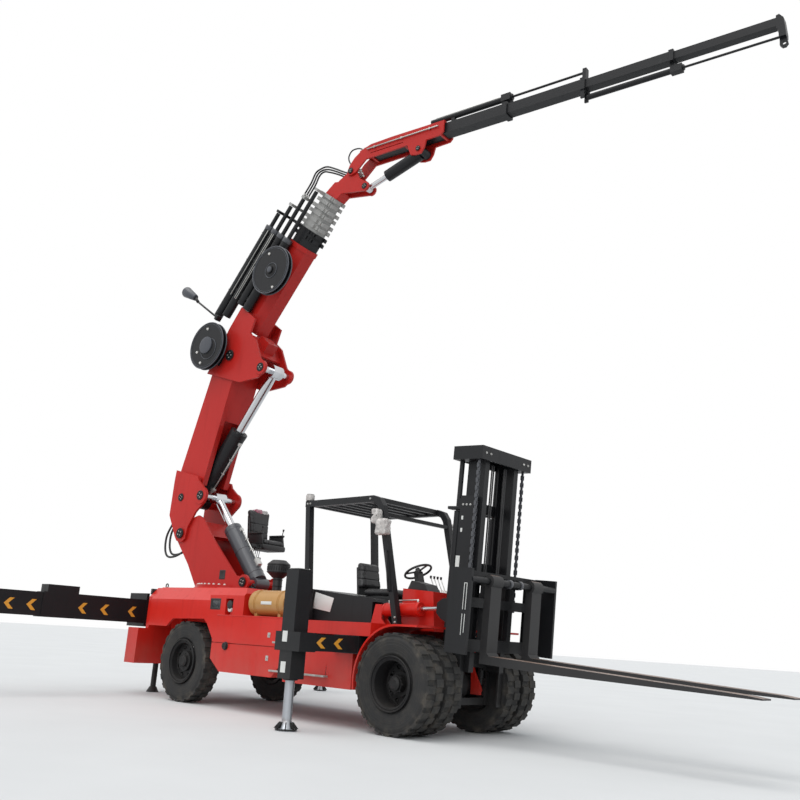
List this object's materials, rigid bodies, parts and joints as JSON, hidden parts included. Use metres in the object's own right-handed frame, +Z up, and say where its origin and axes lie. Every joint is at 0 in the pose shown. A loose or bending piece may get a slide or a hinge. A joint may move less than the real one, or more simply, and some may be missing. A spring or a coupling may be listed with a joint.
{
  "type": "forklift truck with rear folding crane",
  "caption": "Heavy forklift truck with an open overhead guard, long forks and dual drive wheels, carrying a slewing folding crane with a telescopic fly jib and outriggers.",
  "frame": {"origin": "on the ground, at the middle of the machine's box in plan", "axes": "+X forward to the forks, +Y to the operator's left, +Z up"},
  "size_m": [11.2651, 7.93, 9.7519],
  "materials": {
    "paint_red": "glossy vermilion enamel",
    "crane_red": "satin red enamel",
    "black_paint": "satin black enamel",
    "rim_black": "satin black enamel",
    "tyre_rubber": "matt black rubber",
    "cylinder_grey": "satin dark grey enamel",
    "section_grey": "satin pale grey enamel",
    "rod_chrome": "polished hard chrome",
    "leg_steel": "bright worn steel",
    "seat_black": "matt black vinyl",
    "trim_black": "matt black plastic",
    "vessel_ochre": "satin ochre enamel"
  },
  "bodies": {
    "truck": {"chassis_frame": "paint_red", "rear_body": "paint_red", "side_tanks": "paint_red", "front_body": "paint_red", "engine_hood": "black_paint", "overhead_guard": "black_paint", "seat": "seat_black", "steering_console": "trim_black", "axles": "rim_black", "pressure_vessel": "vessel_ochre", "air_cleaner": "trim_black", "outrigger_boxes": "black_paint"},
    "drive_wheel_l": {"drive_tyres_l": "tyre_rubber", "drive_rims_l": "rim_black"},
    "drive_wheel_r": {"drive_tyres_r": "tyre_rubber", "drive_rims_r": "rim_black"},
    "steer_knuckle_l": {"knuckle_l": "rim_black"},
    "steer_knuckle_r": {"knuckle_r": "rim_black"},
    "steer_wheel_l": {"steer_tyre_l": "tyre_rubber", "steer_rim_l": "rim_black"},
    "steer_wheel_r": {"steer_tyre_r": "tyre_rubber", "steer_rim_r": "rim_black"},
    "mast": {"mast_outer": "black_paint"},
    "tilt_barrel": {"tilt_barrels": "paint_red"},
    "tilt_rod": {"tilt_rods": "rod_chrome"},
    "inner_mast": {"mast_inner": "black_paint"},
    "carriage": {"carriage": "black_paint"},
    "fork_l": {"fork_l_arm": "black_paint"},
    "fork_r": {"fork_r_arm": "black_paint"},
    "rear_stage_l": {"rear_beam_l": "black_paint"},
    "rear_stage_r": {"rear_beam_r": "black_paint"},
    "rear_arm_l": {"rear_arm_l": "black_paint"},
    "rear_arm_r": {"rear_arm_r": "black_paint"},
    "mid_stage_l": {"mid_beam_l": "black_paint"},
    "mid_stage_r": {"mid_beam_r": "black_paint"},
    "rear_jack_l": {"rear_leg_l": "leg_steel"},
    "rear_jack_r": {"rear_leg_r": "leg_steel"},
    "mid_jack_l": {"mid_leg_l": "leg_steel"},
    "mid_jack_r": {"mid_leg_r": "leg_steel"},
    "column": {"column": "crane_red", "control_seat": "seat_black"},
    "main_boom": {"main_boom": "crane_red"},
    "lift_barrel": {"lift_barrel": "cylinder_grey"},
    "lift_rod": {"lift_rod": "rod_chrome"},
    "knuckle_barrel": {"knuckle_barrel": "black_paint"},
    "knuckle_rod": {"knuckle_rod": "rod_chrome"},
    "outer_boom": {"outer_boom": "crane_red", "boom_hydraulics": "black_paint"},
    "section_1": {"outer_section_1": "black_paint"},
    "section_2": {"outer_section_2": "section_grey"},
    "section_3": {"outer_section_3": "section_grey"},
    "section_4": {"outer_section_4": "section_grey", "jib_adapter": "crane_red"},
    "jib": {"jib_base": "crane_red", "jib_section_1": "black_paint"},
    "jib_barrel": {"jib_barrel": "black_paint"},
    "jib_rod": {"jib_rod": "rod_chrome"},
    "jib_2": {"jib_section_2": "black_paint"},
    "jib_3": {"jib_section_3": "black_paint"},
    "jib_4": {"jib_section_4": "black_paint"}
  },
  "joints": [
    {"name": "drive_l", "type": "hinge", "parent": "truck", "child": "drive_wheel_l", "pos_m": [1.092, 0.9935, 0.613], "axis": [0, 1, 0], "continuous": true},
    {"name": "steer_l", "type": "hinge", "parent": "truck", "child": "steer_knuckle_l", "pos_m": [-3.461, 0.732, 0.613], "axis": [0, 0, 1], "range_deg": [-35, 35]},
    {"name": "roll_l", "type": "hinge", "parent": "steer_knuckle_l", "child": "steer_wheel_l", "pos_m": [-3.461, 0.922, 0.613], "axis": [0, 1, 0], "continuous": true},
    {"name": "drive_r", "type": "hinge", "parent": "truck", "child": "drive_wheel_r", "pos_m": [1.092, -0.9935, 0.613], "axis": [0, 1, 0], "continuous": true},
    {"name": "steer_r", "type": "hinge", "parent": "truck", "child": "steer_knuckle_r", "pos_m": [-3.461, -0.732, 0.613], "axis": [0, 0, 1], "range_deg": [-35, 35]},
    {"name": "roll_r", "type": "hinge", "parent": "steer_knuckle_r", "child": "steer_wheel_r", "pos_m": [-3.461, -0.922, 0.613], "axis": [0, 1, 0], "continuous": true},
    {"name": "mast_tilt", "type": "hinge", "parent": "truck", "child": "mast", "pos_m": [1.332, 0, 0.56], "axis": [0, 1, 0], "range_deg": [-9.5, 2.5]},
    {"name": "tilt_barrel_swing", "type": "hinge", "parent": "truck", "child": "tilt_barrel", "pos_m": [0.332, 0, 1.52], "axis": [0, 1, 0], "range_deg": [-2, 2]},
    {"name": "tilt_stroke", "type": "slide", "parent": "tilt_barrel", "child": "tilt_rod", "axis": [0.9993, 0, 0.0369], "range_m": [-0.25, 0.1]},
    {"name": "mast_lift", "type": "slide", "parent": "mast", "child": "inner_mast", "axis": [0.061, 0, 0.9981], "range_m": [-0.4, 1.2]},
    {"name": "carriage_lift", "type": "slide", "parent": "inner_mast", "child": "carriage", "axis": [0.061, 0, 0.9981], "range_m": [-0.42, 1.22]},
    {"name": "fork_shift_l", "type": "slide", "parent": "carriage", "child": "fork_l", "axis": [0, 1, 0], "range_m": [-0.2, 0.33]},
    {"name": "fork_shift_r", "type": "slide", "parent": "carriage", "child": "fork_r", "axis": [0, -1, 0], "range_m": [-0.2, 0.33]},
    {"name": "rear_beam_out_l", "type": "slide", "parent": "truck", "child": "rear_stage_l", "axis": [0, 1, 0], "range_m": [-1.25, 0]},
    {"name": "rear_arm_out_l", "type": "slide", "parent": "rear_stage_l", "child": "rear_arm_l", "axis": [0, 1, 0], "range_m": [-1.02, 0]},
    {"name": "rear_leg_down_l", "type": "slide", "parent": "rear_arm_l", "child": "rear_jack_l", "axis": [0, 0, -1], "range_m": [-0.4, 0]},
    {"name": "mid_beam_out_l", "type": "slide", "parent": "truck", "child": "mid_stage_l", "axis": [0, 1, 0], "range_m": [-0.7, 0]},
    {"name": "mid_leg_down_l", "type": "slide", "parent": "mid_stage_l", "child": "mid_jack_l", "axis": [0, 0, -1], "range_m": [-0.45, 0]},
    {"name": "rear_beam_out_r", "type": "slide", "parent": "truck", "child": "rear_stage_r", "axis": [0, -1, 0], "range_m": [-1.25, 0]},
    {"name": "rear_arm_out_r", "type": "slide", "parent": "rear_stage_r", "child": "rear_arm_r", "axis": [0, -1, 0], "range_m": [-1.02, 0]},
    {"name": "rear_leg_down_r", "type": "slide", "parent": "rear_arm_r", "child": "rear_jack_r", "axis": [0, 0, -1], "range_m": [-0.4, 0]},
    {"name": "mid_beam_out_r", "type": "slide", "parent": "truck", "child": "mid_stage_r", "axis": [0, -1, 0], "range_m": [-0.7, 0]},
    {"name": "mid_leg_down_r", "type": "slide", "parent": "mid_stage_r", "child": "mid_jack_r", "axis": [0, 0, -1], "range_m": [-0.45, 0]},
    {"name": "slew", "type": "hinge", "parent": "truck", "child": "column", "pos_m": [-3.838, 0, 0], "axis": [0, 0, 1], "range_deg": [-200, 200]},
    {"name": "main_luff", "type": "hinge", "parent": "column", "child": "main_boom", "pos_m": [-4.83918, -0.08759, 2.743], "axis": [0.0872, -0.9962, 0], "range_deg": [-38, 5.5]},
    {"name": "lift_barrel_swing", "type": "hinge", "parent": "column", "child": "lift_barrel", "pos_m": [-3.14066, 0.06101, 1.905], "axis": [0.0872, -0.9962, 0], "range_deg": [-2, 2]},
    {"name": "lift_stroke", "type": "slide", "parent": "lift_barrel", "child": "lift_rod", "axis": [-0.6456, -0.0565, 0.7616], "range_m": [-0.55, 0.12]},
    {"name": "knuckle_barrel_swing", "type": "hinge", "parent": "main_boom", "child": "knuckle_barrel", "pos_m": [-4.95346, -0.09759, 3.39954], "axis": [0.0872, -0.9962, 0], "range_deg": [-2, 2]},
    {"name": "knuckle_stroke", "type": "slide", "parent": "knuckle_barrel", "child": "knuckle_rod", "axis": [0.5903, 0.0516, 0.8056], "range_m": [-0.72, 0.36]},
    {"name": "outer_fold", "type": "hinge", "parent": "main_boom", "child": "outer_boom", "pos_m": [-4.13655, -0.02612, 6.01969], "axis": [-0.0872, 0.9962, 0], "range_deg": [-20, 45]},
    {"name": "outer_telescope_1", "type": "slide", "parent": "outer_boom", "child": "section_1", "axis": [-0.6037, -0.0528, -0.7955], "range_m": [-1.3, 0]},
    {"name": "outer_telescope_2", "type": "slide", "parent": "section_1", "child": "section_2", "axis": [-0.6037, -0.0528, -0.7955], "range_m": [-1.3, 0]},
    {"name": "outer_telescope_3", "type": "slide", "parent": "section_2", "child": "section_3", "axis": [-0.6037, -0.0528, -0.7955], "range_m": [-1.3, 0]},
    {"name": "outer_telescope_4", "type": "slide", "parent": "section_3", "child": "section_4", "axis": [-0.6037, -0.0528, -0.7955], "range_m": [-1.3, 0]},
    {"name": "jib_fold", "type": "hinge", "parent": "section_4", "child": "jib", "pos_m": [-1.70579, 0.18654, 9.21446], "axis": [0.0872, -0.9962, 0], "range_deg": [-20, 25]},
    {"name": "jib_barrel_swing", "type": "hinge", "parent": "jib", "child": "jib_barrel", "pos_m": [-0.21153, 0.31727, 9.1871], "axis": [0.0872, -0.9962, 0], "range_deg": [-12, 12]},
    {"name": "jib_stroke", "type": "slide", "parent": "jib_barrel", "child": "jib_rod", "axis": [-0.9549, -0.0835, -0.2849], "range_m": [-0.4, 0.45]},
    {"name": "jib_telescope_2", "type": "slide", "parent": "jib", "child": "jib_2", "axis": [0.9956, 0.0871, -0.0349], "range_m": [-1.2, 0]},
    {"name": "jib_telescope_3", "type": "slide", "parent": "jib_2", "child": "jib_3", "axis": [0.9956, 0.0871, -0.0349], "range_m": [-1.2, 0]},
    {"name": "jib_telescope_4", "type": "slide", "parent": "jib_3", "child": "jib_4", "axis": [0.9956, 0.0871, -0.0349], "range_m": [-1.2, 0]}
  ],
  "couplings": [
    {"joint": "tilt_barrel_swing", "follows": "mast_tilt", "ratio": 0.06},
    {"joint": "tilt_stroke", "follows": "mast_tilt", "m_per_rad": 1},
    {"joint": "carriage_lift", "follows": "mast_lift", "ratio": 1},
    {"joint": "lift_barrel_swing", "follows": "main_luff", "ratio": 0.0137},
    {"joint": "lift_stroke", "follows": "main_luff", "m_per_rad": 0.77875},
    {"joint": "knuckle_barrel_swing", "follows": "outer_fold", "ratio": 0.0067},
    {"joint": "knuckle_stroke", "follows": "outer_fold", "m_per_rad": -0.83377},
    {"joint": "jib_barrel_swing", "follows": "jib_fold", "ratio": 0.14},
    {"joint": "jib_stroke", "follows": "jib_fold", "m_per_rad": 0.455}
  ]
}
